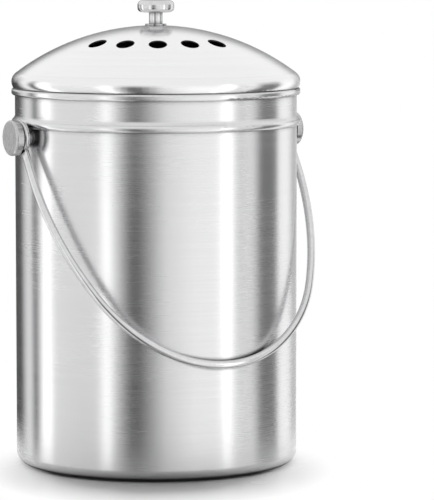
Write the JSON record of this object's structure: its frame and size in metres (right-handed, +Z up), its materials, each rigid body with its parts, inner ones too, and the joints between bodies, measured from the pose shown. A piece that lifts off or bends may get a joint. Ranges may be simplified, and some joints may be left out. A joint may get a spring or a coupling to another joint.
{
  "type": "kitchen compost caddy",
  "caption": "Cylindrical brushed steel compost caddy with a lift-off domed lid that holds a charcoal filter, and a swinging wire bail.",
  "frame": {"origin": "on the floor under the middle of the bin", "axes": "+Z up, X through the two bail studs, the bail hangs against the front wall towards -Y"},
  "size_m": [0.2016, 0.182, 0.2871],
  "materials": {
    "brushed_steel": "brushed round the wall",
    "polished_steel": "polished",
    "plain_steel": "satin",
    "carbon_foam": "matt open foam"
  },
  "bodies": {
    "bin": {"bin_body": "brushed_steel", "left_stud": "polished_steel", "right_stud": "polished_steel", "left_spacer": "plain_steel", "right_spacer": "plain_steel", "left_inner_washer": "plain_steel", "right_inner_washer": "plain_steel", "left_cap_nut": "polished_steel", "right_cap_nut": "polished_steel"},
    "bail": {"bail_handle": "polished_steel"},
    "lid": {"lid_dome": "polished_steel", "lid_cup": "brushed_steel", "charcoal_filter": "carbon_foam", "lid_knob": "polished_steel", "knob_flange": "polished_steel", "knob_washer": "plain_steel", "knob_screw": "plain_steel"}
  },
  "joints": [
    {"name": "bail_swing", "type": "hinge", "parent": "bin", "child": "bail", "pos_m": [0, 0, 0.205], "axis": [-1, 0, 0], "range_deg": [0, 292.32]},
    {"name": "lid_lift", "type": "slide", "parent": "bin", "child": "lid", "axis": [0, 0, 1], "range_m": [0, 0.12]}
  ]
}
